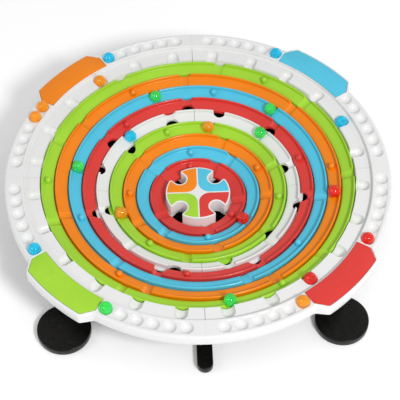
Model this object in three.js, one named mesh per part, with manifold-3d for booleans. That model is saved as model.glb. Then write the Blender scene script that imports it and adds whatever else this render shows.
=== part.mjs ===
// Tabletop maze of rotating rings: a shallow bowl of eight coloured rings round a fixed hub, with loose
// balls that pass inwards wherever two gates line up. Millimetres, +Z up, origin on the table under the hub.
import * as THREE from 'three';
import { mergeVertices } from 'three/addons/utils/BufferGeometryUtils.js';
import Module from 'manifold-3d';

// Balls
const ballDiameter = 14;
const ballClearance = 0.3;
const ballFacets = 1;

// Plan of the bowl, from the hub outwards
const hubRadius = 37.6;
const laneClearance = 1.4;
const innermostExtra = 1.8;
const ringGap = 1.0;
const stationEnd = 3.5;
const storageWall = 2.9;
const rimWall = 4.0;

// Section of the bowl
const bowlSlope = 0.30;
const lipHeight = 4.0;
const lipWidth = 2.2;
const lipLean = 0.4;
const floorThickness = 3.8;
const ringWall = 3.6;
const flangeReach = 4.0;
const flangeThickness = 2.0;
const firstLipDrop = 3.4;
const shellWall = 2.4;
const fitGap = 0.3;
const jointGap = 0.4;

// Gates, traps and finger knobs
const gateDish = 2.0;
const trapClearance = 0.8;
const trapOffset = 1.0;
const knobRadius = 3.7;
const knobRise = 3.4;

// Rim, storage row and stations
const rimRise = 5.0;
const skirtDepth = 15.0;
const storageSpacing = 3.6;
const storagePerSide = 6;
const storageBallRise = 6.2;
const storageFirstGap = 1.3;
const storageStepLean = 0.4;
const cupShoulder = 0.8;
const stationCount = 24;

// Handle pads
const padReach = 8.0;
const padSetback = 1.1;
const padHalfAngle = 12.95;
const padTipHalfAngle = 10.05;
const padChamferReach = 4.1;
const padBorder = 2.6;
const padThickness = 1.6;

// Hub
const hubRise = 4.4;
const pocketInset = 8.4;
const pocketClearance = 0.7;
const inlayCorner = 13;
const inlayBorder = 1.7;
const inlayThickness = 1.2;
const postRadius = 15;

// Catch tray and stand
const trayClearance = 1.2;
const trayLift = 2.0;
const trayInset = 1.5;
const baseThickness = 8.6;
const rubberThickness = 1.2;
const barWidth = 17.4;
const barInset = 7.0;
const footRadius = 30;
const footOverhang = 12;
const rubberRadius = 12;
const columnRadius = 11;
const columnPlace = 140;
const bossDepth = 1.2;
const screwRadius = 1.6;
const screwHeadRadius = 3.2;
const screwHeadHeight = 1.8;
const screwLength = 16;
const screwBoreSpare = 2;

// Places worked out from the values above
const ballRadius = ballDiameter / 2;
const pocketRadius = ballRadius + ballClearance;
const ringPitch = ballDiameter + laneClearance;
const innermostRadius = hubRadius + ringGap + ringPitch + innermostExtra;
const midIndex = 4;
const lastIndex = 8;
const ringRadius = (index) => innermostRadius + (lastIndex - index) * ringPitch;
const ringInner = (index) => (index === lastIndex ? hubRadius : ringRadius(index + 1)) + ringGap;
const trackInner = ringRadius(0) + ringGap;
const trackOuter = trackInner + ballDiameter + stationEnd;
const storageRadius = trackOuter + storageWall + pocketRadius;
const rimRadius = storageRadius + pocketRadius + rimWall;
const baseTop = rubberThickness + baseThickness;
const trayFloor = baseTop + trayLift + shellWall;
const innermostUnder = trayFloor + ballDiameter + trayClearance;
const floorAt = (radius) => innermostUnder + floorThickness + bowlSlope * (radius - hubRadius);
const lipTopAt = (radius) => floorAt(radius) + lipHeight;
const flangeTopAt = (radius) => floorAt(radius) - floorThickness - fitGap / 3;
const trackHeight = lipTopAt(ringRadius(0)) + firstLipDrop;
const rimTop = trackHeight + rimRise;
const skirtBottom = rimTop - skirtDepth;
const stationUnder = trackHeight - pocketRadius - shellWall;
const hubTop = lipTopAt(innermostRadius) + hubRise;
const hubPocketRadius = ballRadius + pocketClearance;
const hubPocketCentre = hubRadius - pocketInset;
const trapRadius = ballRadius + trapClearance;
const padInner = trackOuter + padSetback;
const padOuter = rimRadius + padReach;
const padChamferStart = rimRadius - padChamferReach;
const storageAngle = THREE.MathUtils.radToDeg((ballDiameter + storageSpacing) / storageRadius);
const storageFirst = padHalfAngle + THREE.MathUtils.radToDeg((pocketRadius + storageFirstGap) / storageRadius);
const footCentre = rimRadius + padReach + padBorder - footOverhang;
const coneAt = (radius) => trayFloor + bowlSlope * (radius - hubRadius);
const bossUnder = coneAt(columnPlace - columnRadius) - shellWall - bossDepth;
const slopeAngle = Math.atan(bowlSlope);

// Facets: how far a flat may sag inside its circle on the large rings, and the sides of the smaller rounds
const facetSag = 0.7;
const sides = {
  pipe: 8, cup: 6, trap: 12, pocket: 14, band: 20, hub: 32, tray: 32, inside: 36, post: 8, bar: 12, base: 24,
  column: 16, screw: 6, screwHead: 8, rubber: 12, knob: 8, padArc: 5,
};
const above = 2 * rimTop;
const below = -1;
const far = 2 * rimRadius;

const colours = {
  white: [0xececec, 0.35],
  green: [0x9cd63a, 0.35],
  orange: [0xf38e1b, 0.35],
  blue: [0x55c3e6, 0.35],
  red: [0xe0413c, 0.35],
  black: [0x161512, 0.5],
  rubber: [0x202020, 0.9],
  steel: [0x9a9a9a, 0.3],
};

const wasm = await Module();
wasm.setup();
const puzzle = new THREE.Group();
const radians = THREE.MathUtils.degToRad;

function solidOf(geometry) {
  const plain = geometry.clone();
  plain.deleteAttribute('normal');
  plain.deleteAttribute('uv');
  const merged = mergeVertices(plain, 1e-4);
  const index = merged.index.array;
  const faces = [];
  for (let i = 0; i < index.length; i += 3) {
    const [a, b, c] = [index[i], index[i + 1], index[i + 2]];
    if (a !== b && b !== c && c !== a) faces.push(a, b, c);
  }
  const mesh = new wasm.Mesh({
    numProp: 3,
    vertProperties: Float32Array.from(merged.attributes.position.array),
    triVerts: Uint32Array.from(faces),
  });
  return new wasm.Manifold(mesh);
}

function addPiece(name, solid, colour) {
  const mesh = solid.getMesh();
  const geometry = new THREE.BufferGeometry();
  geometry.setAttribute('position', new THREE.BufferAttribute(Float32Array.from(mesh.vertProperties), 3));
  geometry.setIndex(new THREE.BufferAttribute(Uint32Array.from(mesh.triVerts), 1));
  geometry.computeVertexNormals();
  const [shade, roughness] = colours[colour];
  const material = new THREE.MeshStandardMaterial({ color: shade, roughness, metalness: 0 });
  const piece = new THREE.Mesh(geometry, material);
  piece.name = name;
  puzzle.add(piece);
}

// A closed ring or disc turned about Z from a profile of [radius, height] points, anticlockwise.
function turned(profile, segments) {
  const points = profile.map(([radius, height]) => new THREE.Vector2(radius, height));
  if (profile[0][0] > 0) points.push(points[0].clone());
  return solidOf(new THREE.LatheGeometry(points, segments).rotateX(Math.PI / 2));
}

// An upright prism of an outline of [x, y] points.
function prism(outline, low, high) {
  const shape = new THREE.Shape(outline.map(([x, y]) => new THREE.Vector2(x, y)));
  const body = new THREE.ExtrudeGeometry(shape, { depth: high - low, bevelEnabled: false });
  return solidOf(body.translate(0, 0, low));
}

function upright(radius, low, high, count, x = 0, y = 0) {
  const body = new THREE.CylinderGeometry(radius, radius, high - low, count).rotateX(Math.PI / 2);
  return solidOf(body.translate(x, y, (low + high) / 2));
}

const turnedTo = (solid, degrees) => solid.rotate([0, 0, degrees]);
const polar = (radius, degrees) => [radius * Math.cos(radians(degrees)), radius * Math.sin(radians(degrees))];
const segmentsFor = (radius) => Math.ceil(Math.PI / Math.acos(1 - facetSag / radius));

function arc(radius, from, to, steps) {
  return Array.from({ length: steps + 1 }, (_, i) => polar(radius, from + ((to - from) * i) / steps));
}

// A level pipe along +X whose flats just clear a ball, from its centre line's start.
function ballPipe(start, length) {
  const radius = pocketRadius / Math.cos(Math.PI / sides.pipe);
  const pipe = new THREE.CylinderGeometry(radius, radius, length, sides.pipe);
  pipe.rotateY(Math.PI / sides.pipe).rotateZ(-Math.PI / 2);
  return pipe.translate(start + length / 2, 0, 0);
}

// A groove that lets a ball roll down the bowl through a lip.
function gateCutter(outer, inner, degrees) {
  const middle = (outer + inner) / 2;
  const length = outer - inner + 2 * lipHeight;
  const pipe = ballPipe(-length / 2, length).rotateY(-slopeAngle);
  pipe.translate(middle, 0, floorAt(middle) + (pocketRadius - gateDish) / Math.cos(slopeAngle));
  return turnedTo(solidOf(pipe), degrees);
}

function trapCutter(edge, degrees) {
  return turnedTo(upright(trapRadius, below, above, sides.trap, edge + ringGap / 2 + trapOffset, 0), degrees);
}

// Section of a ring: raised lip, sloping floor, and a flange that carries the next ring out. The inner edge
// is drawn a little wide, so that the flats of its facets keep the full gap.
function ringBlank(outer, inner) {
  const segments = segmentsFor(outer);
  const innerEdge = inner / Math.cos(Math.PI / segments);
  const floorStart = outer - lipWidth - lipLean;
  const flangeTop = flangeTopAt(outer);
  const flangeBottom = flangeTop - flangeThickness;
  const profile = [
    [outer + flangeReach, flangeBottom],
    [outer + flangeReach, flangeTop],
    [outer, flangeTop],
    [outer, lipTopAt(outer)],
    [outer - lipWidth, lipTopAt(outer)],
    [floorStart, floorAt(floorStart)],
    [innerEdge, floorAt(innerEdge)],
    [innerEdge, floorAt(innerEdge) - floorThickness],
    [outer - ringWall, flangeBottom],
  ];
  return turned(profile, segments);
}

function knob(radius, degrees) {
  const shoulder = floorAt(radius) + knobRise;
  const profile = [
    [0, floorAt(radius) - floorThickness / 2],
    [knobRadius, floorAt(radius) - floorThickness / 2],
    [knobRadius, shoulder],
    [knobRadius * Math.SQRT1_2, shoulder + knobRadius * Math.SQRT1_2],
    [0, shoulder + knobRadius],
  ];
  return turnedTo(turned(profile, sides.knob).translate([radius, 0, 0]), degrees);
}

// Rings that turn. Gates are evenly spaced from the first angle; knobs stand at the angles given.
const rings = [
  { name: 'outer_green', index: 0, gates: 9, first: -0.7, knobs: [59.6, 179.6, 299.6] },
  { name: 'outer_orange', index: 1, gates: 7, first: 42.2, knobs: [4.8, 118.3, 234.9] },
  { name: 'outer_blue', index: 2, gates: 6, first: 49.4, knobs: [80, 199.4, 320] },
  {
    name: 'outer_red', index: 3, gates: 7, first: 42.2, knobs: [16, 131, 262.4],
    innerTraps: [0, 1, 2, 3, 4, 5, 6],
  },
  { name: 'inner_green', index: 5, gates: 6, first: 20.3, knobs: [351.3, 110.9, 233], outerTraps: [2, 5] },
  { name: 'inner_orange', index: 6, gates: 5, first: 67.1, knobs: [24.6, 179.8] },
  { name: 'inner_blue', index: 7, gates: 4, first: 52.3, knobs: [95.7, 278.5] },
  { name: 'inner_red', index: 8, gates: 5, first: 65.8, knobs: [99.3, 324.5] },
];
const gateAngle = (ring, gate) => ring.first + (360 / ring.gates) * gate;

function makeRing(ring) {
  const outer = ringRadius(ring.index);
  const inner = ringInner(ring.index);
  let body = ringBlank(outer, inner);
  for (const degrees of ring.knobs) body = body.add(knob((outer - lipWidth + inner) / 2, degrees));
  for (let gate = 0; gate < ring.gates; gate += 1) {
    body = body.subtract(gateCutter(outer, inner, gateAngle(ring, gate)));
  }
  for (const gate of ring.innerTraps ?? []) {
    body = body.subtract(trapCutter(inner - ringGap, gateAngle(ring, gate)));
  }
  for (const gate of ring.outerTraps ?? []) {
    body = body.subtract(trapCutter(outer, gateAngle(ring, gate)));
  }
  addPiece(`ring_${ring.name}`, body, ring.name.split('_')[1]);
}

const quadrants = [
  { name: 'ne', turn: 0, colour: 'blue' },
  { name: 'nw', turn: 90, colour: 'orange' },
  { name: 'sw', turn: 180, colour: 'green' },
  { name: 'se', turn: 270, colour: 'red' },
];

// The quarter of space between two radial joints, in the first quadrant.
const quarterSpace = prism(
  [[jointGap / 2, jointGap / 2], [far, jointGap / 2], [far, far], [jointGap / 2, far]], below, above);

// The fixed ring between the two sets of turning rings, in four quarters that meet at radial joints.
function makeMidQuadrants() {
  const outer = ringRadius(midIndex);
  const inner = ringInner(midIndex);
  let quarter = ringBlank(outer, inner).intersect(quarterSpace);
  for (const degrees of [15, 45]) quarter = quarter.subtract(gateCutter(outer, inner, degrees));
  quarter = quarter.subtract(trapCutter(outer, 75)).subtract(trapCutter(inner - ringGap, 15));
  for (const { name, turn } of quadrants) addPiece(`mid_ring_${name}`, turnedTo(quarter, turn), 'white');
}

// Outline of a handle pad about 45 degrees: round inner and outer edges with clipped outer corners.
function padOutline(grow) {
  const wide = THREE.MathUtils.radToDeg(grow / storageRadius);
  const side = padHalfAngle + wide;
  const tip = padTipHalfAngle + wide / 2;
  return [
    ...arc(padInner - grow, 45 - side, 45 + side, sides.padArc + 1),
    polar(padChamferStart + grow / 2, 45 + side),
    ...arc(padOuter + grow, 45 + tip, 45 - tip, sides.padArc),
    polar(padChamferStart + grow / 2, 45 - side),
  ];
}

function storageCup(degrees) {
  const wide = pocketRadius / Math.cos(Math.PI / sides.cup);
  const profile = [
    [0, -pocketRadius],
    [wide * cupShoulder, -pocketRadius * cupShoulder],
    [wide, 0],
    [wide, rimRise],
    [0, rimRise],
  ];
  const cup = turned(profile, sides.cup).translate([storageRadius, 0, trackHeight + storageBallRise]);
  return turnedTo(cup, degrees);
}

function stationCutter(degrees) {
  const start = trackInner - 2 * ringGap;
  const length = ballDiameter + 3 * ballClearance + 2 * ringGap;
  return turnedTo(solidOf(ballPipe(start, length).translate(0, 0, trackHeight)), degrees);
}

// A quarter of the outer frame: station track, storage row, rim with its skirt, and a seat for a pad.
function makeFrameQuadrants() {
  const storageUnder = trackHeight + storageBallRise - pocketRadius - shellWall;
  const profile = [
    [trackInner, stationUnder],
    [trackOuter - shellWall, stationUnder],
    [trackOuter + shellWall, storageUnder],
    [rimRadius - shellWall, storageUnder],
    [rimRadius - shellWall, skirtBottom],
    [rimRadius, skirtBottom],
    [rimRadius, rimTop],
    [trackOuter + storageStepLean, rimTop],
    [trackOuter, trackHeight],
    [trackInner, trackHeight],
  ];
  const hollow = padOutline(padBorder - shellWall);
  let quarter = turned(profile, segmentsFor(rimRadius)).intersect(quarterSpace);
  const corner = prism(padOutline(padBorder), skirtBottom, rimTop);
  const inside = upright(trackOuter + shellWall, below, above, sides.inside);
  quarter = quarter.add(corner.subtract(inside));
  quarter = quarter.subtract(prism(hollow, below, rimTop - padThickness - shellWall).subtract(inside));
  quarter = quarter.subtract(prism(padOutline(fitGap), rimTop - padThickness, above));
  for (let place = 0; place < storagePerSide; place += 1) {
    const away = storageFirst + storageAngle * place;
    quarter = quarter.subtract(storageCup(45 + away)).subtract(storageCup(45 - away));
  }
  const stationStep = 360 / stationCount;
  for (let station = 0; station < stationCount / 4; station += 1) {
    quarter = quarter.subtract(stationCutter(stationStep * (station + 0.5)));
  }
  const inlay = prism(padOutline(0), rimTop - padThickness + fitGap, rimTop + fitGap);
  for (const { name, turn, colour } of quadrants) {
    addPiece(`frame_${name}`, turnedTo(quarter, turn), 'white');
    addPiece(`pad_${colour}`, turnedTo(inlay, turn), colour);
  }
}

// A slot from a hub pocket's centre outwards along +X.
function slotOut(half, low, high) {
  return prism([[hubPocketCentre, -half], [far, -half], [far, half], [hubPocketCentre, half]], low, high);
}

// A hub pocket about 45 degrees, open to the rim of the hub.
function pocketCutter(radius, low, high) {
  const round = upright(radius, low, high, sides.pocket, hubPocketCentre, 0);
  return turnedTo(round.add(slotOut(radius, low, high)), 45);
}

// One coloured inlay of the hub face: a quarter with its inner corner rounded, cut back round the pocket.
function inlayBand(grow, low, high) {
  const inner = hubPocketRadius + inlayBorder - grow;
  const edge = inlayBorder / 2 - grow;
  const round = inlayBorder / 2 + inlayCorner;
  const disc = upright(hubRadius - inlayBorder + grow, low, high, sides.hub);
  const quarter = prism([[edge, edge], [far, edge], [far, far], [edge, far]], low, high);
  const square = prism([[edge, edge], [round, edge], [round, round], [edge, round]], below, above);
  const corner = square.subtract(upright(inlayCorner + grow, below, above, sides.band, round, round));
  return disc.intersect(quarter).subtract(corner).subtract(pocketCutter(inner, below, above));
}

function makeHub() {
  const flangeTop = flangeTopAt(hubRadius);
  const flangeBottom = flangeTop - flangeThickness;
  const profile = [
    [0, flangeBottom],
    [hubRadius + flangeReach, flangeBottom],
    [hubRadius + flangeReach, flangeTop],
    [hubRadius, flangeTop],
    [hubRadius, hubTop],
    [0, hubTop],
  ];
  const underCap = hubTop - inlayThickness - shellWall;
  let hub = turned(profile, sides.hub);
  let hollow = upright(hubRadius - shellWall, below, underCap, sides.hub);
  for (const { turn } of quadrants) {
    hub = hub.subtract(turnedTo(pocketCutter(hubPocketRadius, below, above), turn));
    hollow = hollow.subtract(turnedTo(pocketCutter(hubPocketRadius + shellWall, below, above), turn));
    hub = hub.subtract(turnedTo(inlayBand(fitGap, hubTop - inlayThickness, above), turn));
  }
  addPiece('hub', hub.subtract(hollow), 'white');
  for (const { turn, colour } of quadrants) {
    const band = inlayBand(0, hubTop - inlayThickness + fitGap, hubTop + fitGap);
    addPiece(`hub_inlay_${colour}`, turnedTo(band, turn), colour);
  }
}

// A black dish under the rings catches balls that drop through a trap. Its wall carries the frame, its posts
// the fixed ring and the hub, and flat bosses under it stand on the columns.
function makeCatchTray() {
  const wallOuter = trackOuter - trayInset;
  const wallInner = wallOuter - shellWall;
  const trayTop = stationUnder - fitGap;
  const postTop = hubTop - inlayThickness - shellWall - fitGap;
  const profile = [
    [0, trayFloor - shellWall],
    [hubRadius, trayFloor - shellWall],
    [wallOuter, coneAt(wallOuter) - shellWall],
    [wallOuter, trayTop],
    [wallInner, trayTop],
    [wallInner, coneAt(wallInner)],
    [hubRadius, trayFloor],
    [postRadius, trayFloor],
    [postRadius, postTop],
    [0, postTop],
  ];
  let tray = turned(profile, sides.tray);
  const clearFrom = ringRadius(midIndex + 1) + flangeReach + fitGap;
  const clearTo = ringRadius(midIndex) - ringWall - fitGap;
  const postRing = (clearFrom + clearTo) / 2;
  const midPostRadius = (clearTo - clearFrom) / 2;
  const midPostTop = floorAt(clearFrom) - floorThickness - fitGap;
  for (const { turn } of quadrants) {
    for (const degrees of [30, 60]) {
      const [x, y] = polar(postRing, turn + degrees);
      tray = tray.add(upright(midPostRadius, coneAt(postRing) - shellWall / 2, midPostTop, sides.post, x, y));
    }
  }
  for (const { turn } of quadrants) {
    const [x, y] = polar(columnPlace, turn + 45);
    tray = tray.add(upright(columnRadius, bossUnder, coneAt(columnPlace) - shellWall / 2, sides.column, x, y));
  }
  addPiece('catch_tray', tray, 'black');
}

function barTo(length, degrees, low, high) {
  const half = barWidth / 2;
  const bar = prism([[0, -half], [length - half, -half], [length - half, half], [0, half]], low, high);
  return turnedTo(bar.add(upright(half, low, high, sides.bar, length - half, 0)), degrees);
}

function makeStand() {
  const low = rubberThickness;
  let base = upright(hubRadius + barWidth, low, baseTop, sides.base);
  base = base.add(upright(hubRadius, low, baseTop + trayLift - fitGap, sides.base));
  for (const { turn } of quadrants) {
    base = base.add(barTo(rimRadius - barInset, turn, low, baseTop));
    base = base.add(barTo(footCentre, turn + 45, low, baseTop));
    base = base.add(upright(footRadius, low, baseTop, sides.base, ...polar(footCentre, turn + 45)));
    const [x, y] = polar(columnPlace, turn + 45);
    const sink = low + screwHeadHeight + fitGap;
    base = base.subtract(upright(screwRadius + fitGap, below, above, sides.screw, x, y));
    base = base.subtract(upright(screwHeadRadius + 2 * fitGap, below, sink, sides.screwHead, x, y));
  }
  addPiece('stand_base', base, 'black');
}

// Columns on the stand's diagonal bars carry the tray; each is pinned from below by one screw.
function makeColumns() {
  const low = baseTop + fitGap;
  const high = bossUnder - fitGap;
  const bore = screwLength - (baseThickness - screwHeadHeight) + screwBoreSpare;
  const hole = upright(screwRadius + fitGap, below, low + bore, sides.screw);
  const column = upright(columnRadius, low, high, sides.column).subtract(hole);
  for (const { name, turn } of quadrants) {
    const [x, y] = polar(columnPlace, turn + 45);
    addPiece(`column_${name}`, column.translate([x, y, 0]), 'black');
  }
}

// One screw under each column, and a rubber pad under each foot that touches the table.
function makeScrewsAndPads() {
  const seat = rubberThickness + screwHeadHeight;
  const head = upright(screwHeadRadius, rubberThickness, seat, sides.screwHead);
  const screw = head.add(upright(screwRadius, rubberThickness, seat + screwLength, sides.screw));
  const rubber = upright(rubberRadius, 0, rubberThickness - fitGap, sides.rubber);
  for (const { name, turn } of quadrants) {
    addPiece(`column_screw_${name}`, screw.translate([...polar(columnPlace, 45 + turn), 0]), 'steel');
    addPiece(`rubber_pad_${name}`, rubber.translate([...polar(footCentre, 45 + turn), 0]), 'rubber');
  }
}

function ballAt(name, radius, degrees, height) {
  const ball = solidOf(new THREE.IcosahedronGeometry(ballRadius, ballFacets));
  const [x, y] = polar(radius, degrees);
  addPiece(`ball_${name}`, ball.translate([x, y, height]), name.split('_')[0]);
}

// A ball leans on the lip of the next ring in.
const besideLip = (index) => ringRadius(index) + ballRadius + 2 * ballClearance;

function ballInGate(name, index, degrees) {
  const radius = besideLip(index + 1);
  ballAt(name, radius, degrees, floorAt(radius) + (pocketRadius - gateDish) / Math.cos(slopeAngle));
}

function makeBalls() {
  const byName = Object.fromEntries(rings.map((ring) => [ring.name, ring]));
  const storageHeight = trackHeight + storageBallRise;
  const stored = [
    ['blue_stored_a', 45 + storageFirst],
    ['blue_stored_b', 135 - storageFirst],
    ['blue_stored_c', 225 - storageFirst],
    ['orange_stored_a', 135 + storageFirst],
    ['orange_stored_b', 135 + storageFirst + storageAngle],
    ['orange_stored_c', 315 - storageFirst],
    ['green_stored', 225 + storageFirst],
    ['red_stored', 315 + storageFirst],
  ];
  for (const [name, degrees] of stored) ballAt(name, storageRadius, degrees, storageHeight);
  const stationStep = 360 / stationCount;
  const stationed = [['blue_station', 1], ['orange_station', 8], ['red_station', 20]];
  for (const [name, station] of stationed) {
    ballAt(name, besideLip(0), stationStep * (station + 0.5), trackHeight);
  }
  const gated = [
    ['green_on_green', 'outer_green', 7],
    ['red_on_orange', 'outer_orange', 6],
    ['green_on_blue_a', 'outer_blue', 0],
    ['green_on_blue_b', 'outer_blue', 1],
    ['green_on_blue_c', 'outer_blue', 2],
    ['orange_on_green_a', 'inner_green', 1],
    ['orange_on_green_b', 'inner_green', 3],
    ['red_on_blue', 'inner_blue', 3],
  ];
  for (const [name, ring, gate] of gated) ballInGate(name, byName[ring].index, gateAngle(byName[ring], gate));
  ballInGate('green_on_mid', midIndex, 45);
  ballInGate('blue_on_mid', midIndex, 135);
}

makeFrameQuadrants();
for (const ring of rings) makeRing(ring);
makeMidQuadrants();
makeHub();
makeCatchTray();
makeStand();
makeColumns();
makeScrewsAndPads();
makeBalls();

export default puzzle;
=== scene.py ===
import math
import bmesh
import bpy
from mathutils import Matrix, Vector


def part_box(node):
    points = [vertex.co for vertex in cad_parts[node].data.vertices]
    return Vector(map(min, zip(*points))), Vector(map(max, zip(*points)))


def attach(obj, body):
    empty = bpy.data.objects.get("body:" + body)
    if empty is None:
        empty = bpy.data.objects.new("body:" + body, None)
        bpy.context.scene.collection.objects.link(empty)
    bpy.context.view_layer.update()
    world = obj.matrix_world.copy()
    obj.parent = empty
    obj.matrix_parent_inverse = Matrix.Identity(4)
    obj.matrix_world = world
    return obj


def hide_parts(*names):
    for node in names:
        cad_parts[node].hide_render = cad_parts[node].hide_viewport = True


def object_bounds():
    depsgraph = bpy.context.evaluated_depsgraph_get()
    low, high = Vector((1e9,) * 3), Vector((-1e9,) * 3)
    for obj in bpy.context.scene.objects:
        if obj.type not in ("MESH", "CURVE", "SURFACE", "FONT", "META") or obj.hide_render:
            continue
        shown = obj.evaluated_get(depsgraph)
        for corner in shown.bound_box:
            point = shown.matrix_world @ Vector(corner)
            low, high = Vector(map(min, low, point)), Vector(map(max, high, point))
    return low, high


# Maze of turning rings: fine mouldings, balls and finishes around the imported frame.
# Metres, +Z up, rings turn about the Z axis.

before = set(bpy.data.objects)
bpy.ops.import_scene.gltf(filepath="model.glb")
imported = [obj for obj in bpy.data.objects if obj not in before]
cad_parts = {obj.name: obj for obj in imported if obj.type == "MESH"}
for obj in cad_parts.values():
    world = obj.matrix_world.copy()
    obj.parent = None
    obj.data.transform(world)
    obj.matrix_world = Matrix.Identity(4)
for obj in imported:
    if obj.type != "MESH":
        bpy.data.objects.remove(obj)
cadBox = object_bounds()
rad = math.radians
print("stage: frame loaded")


def sumOf(operation):
    # a method that adds one Math node
    def method(self, *others):
        return self.calc(operation, *others)
    return method


class Val:
    # a socket that can be used in Python sums
    def __init__(self, maker, socket):
        self.maker = maker
        self.socket = socket

    def calc(self, operation, *others):
        inputs = {0: self, **{i + 1: other for i, other in enumerate(others)}}
        return self.maker.val("ShaderNodeMath", {"operation": operation}, inputs)

    def __rsub__(self, other):
        return (self * -1).calc("ADD", other)

    def ramp(self, low, high):
        inputs = {0: self, 1: low, 2: high, 3: 0.0, 4: 1.0}
        return self.maker.val("ShaderNodeMapRange", {"interpolation_type": "SMOOTHSTEP"}, inputs)

    __add__ = __radd__ = sumOf("ADD")
    __sub__ = sumOf("SUBTRACT")
    __mul__ = __rmul__ = sumOf("MULTIPLY")
    __truediv__ = sumOf("DIVIDE")
    __gt__ = sumOf("GREATER_THAN")
    __lt__ = sumOf("LESS_THAN")
    sin = sumOf("SINE")
    cos = sumOf("COSINE")
    asin = sumOf("ARCSINE")
    root = sumOf("SQRT")
    size = sumOf("ABSOLUTE")
    sign = sumOf("SIGN")
    floor = sumOf("FLOOR")
    nearest = sumOf("ROUND")
    atLeast = sumOf("MAXIMUM")
    atMost = sumOf("MINIMUM")
    softMin = sumOf("SMOOTH_MIN")
    softMax = sumOf("SMOOTH_MAX")


class Maker:
    def __init__(self, tree):
        self.tree = tree

    def node(self, kind, settings=None, inputs=None):
        made = self.tree.nodes.new(kind)
        for key, value in (settings or {}).items():
            setattr(made, key, value)
        for key, value in (inputs or {}).items():
            if isinstance(value, Val):
                value = value.socket
            if isinstance(value, bpy.types.NodeSocket):
                self.tree.links.new(value, made.inputs[key])
            else:
                made.inputs[key].default_value = value
        return made

    def val(self, kind, settings=None, inputs=None):
        made = self.node(kind, settings, inputs)
        return Val(self, [socket for socket in made.outputs if socket.enabled][0])

    def polar(self, angle, radius, height):
        inputs = {0: radius * angle.cos(), 1: radius * angle.sin(), 2: height}
        return self.val("ShaderNodeCombineXYZ", None, inputs)

    def noise(self, place, scale, detail):
        inputs = {"Vector": place, "Scale": scale, "Detail": detail}
        return self.val("ShaderNodeTexNoise", None, inputs)

    def blend(self, share, first, second):
        # one colour into another
        return self.val("ShaderNodeMix", {"data_type": "RGBA"}, {0: share, 6: first, 7: second})

    def bump(self, height, strength, distance):
        inputs = {"Strength": strength, "Distance": distance, "Height": height}
        return self.val("ShaderNodeBump", None, inputs)


def startMaterial(name):
    material = bpy.data.materials.new(name)
    material.use_nodes = True
    material.node_tree.nodes.clear()
    make = Maker(material.node_tree)
    return material, make, make.node("ShaderNodeTexCoord").outputs["Object"]


def shade(colour, factor, lift=0.0):
    return [min(1.0, part * factor + lift) for part in colour] + [1.0]


def plasticFinish(name, colour, look):
    # moulded plastic: faint colour drift, fine grain and rubbed patches
    material, make, place = startMaterial(name)
    drift = make.noise(place, look["driftScale"], 3.0)
    grain = make.noise(place, look["grainScale"], 4.0)
    rub = make.noise(place, look["rubScale"], 6.0)
    deep, pale = shade(colour, look["deep"]), shade(colour, look["pale"])
    tone = make.blend(drift.ramp(0.32, 0.68), deep, pale)
    rough = rub.ramp(0.42, 0.72) * look["roughSpread"] + grain * look["grainRough"] + look["rough"]
    height = grain * look["grainHeight"] + drift * look["waveHeight"]
    shader = make.node("ShaderNodeBsdfPrincipled", None, {
        "Base Color": tone, "Roughness": rough, "IOR": look["bend"],
        "Normal": make.bump(height, look["bump"], look["bumpDepth"])})
    make.node("ShaderNodeOutputMaterial", None, {"Surface": shader.outputs[0]})
    return material


glossLook = {
    "driftScale": 16.0, "grainScale": 900.0, "rubScale": 70.0, "deep": 0.95, "pale": 1.02,
    "rough": 0.17, "roughSpread": 0.08, "grainRough": 0.05, "grainHeight": 0.30, "waveHeight": 0.25,
    "bump": 0.12, "bumpDepth": 0.0004, "bend": 1.46,
}
whiteLook = {**glossLook, "rough": 0.30, "deep": 0.98, "pale": 1.0}
blackLook = {**glossLook, "rough": 0.24, "deep": 0.8, "pale": 1.2, "bump": 0.35, "bend": 1.34}
rubberLook = {**blackLook, "rough": 0.72, "grainScale": 500.0, "bump": 0.6}
looks = {"white": whiteLook, "black": blackLook, "rubber": rubberLook}

colours = {
    "white": (0.78, 0.78, 0.777),
    "green": (0.36, 0.67, 0.034),
    "orange": (0.90, 0.24, 0.002),
    "blue": (0.085, 0.55, 0.75),
    "red": (0.70, 0.044, 0.036),
    "black": (0.004, 0.0038, 0.0032),
    "rubber": (0.02, 0.02, 0.02),
}
finishes = {}
for finishName, finishColour in colours.items():
    finishLook = looks.get(finishName, glossLook)
    finishes[finishName] = plasticFinish(finishName + "Plastic", finishColour, finishLook)


def clearFinish(name, colour, look):
    # tinted see-through ball with faint flow clouds and scuffs; its own colour also glows faintly, which
    # is painted light standing in for light passing through the ball
    material, make, place = startMaterial(name)
    cloud = make.noise(place, look["cloudScale"], 3.0)
    scuff = make.noise(place, look["scuffScale"], 6.0)
    deep, pale = shade(colour, look["deep"]), shade(colour, look["pale"], look["lift"])
    tone = make.blend(cloud.ramp(0.35, 0.65), deep, pale)
    # the emission below is painted light: the ball's colour shines faintly in place of light passing
    # through it
    shader = make.node("ShaderNodeBsdfPrincipled", None, {
        "Base Color": tone, "Roughness": scuff.ramp(0.55, 0.75) * look["roughSpread"] + look["rough"],
        "Normal": make.bump(scuff, look["bump"], look["bumpDepth"]), "IOR": look["bend"],
        "Transmission Weight": look["clear"], "Coat Weight": 1.0, "Coat Roughness": look["coatRough"],
        "Emission Color": tone, "Emission Strength": look["glow"]})
    tint = [part ** look["tint"] for part in colour] + [1.0]
    through = make.node("ShaderNodeBsdfTransparent", None, {"Color": tint})
    mixed = make.node("ShaderNodeMixShader", None, {
        0: look["through"], 1: shader.outputs[0], 2: through.outputs[0]})
    make.node("ShaderNodeOutputMaterial", None, {"Surface": mixed.outputs[0]})
    return material


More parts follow.
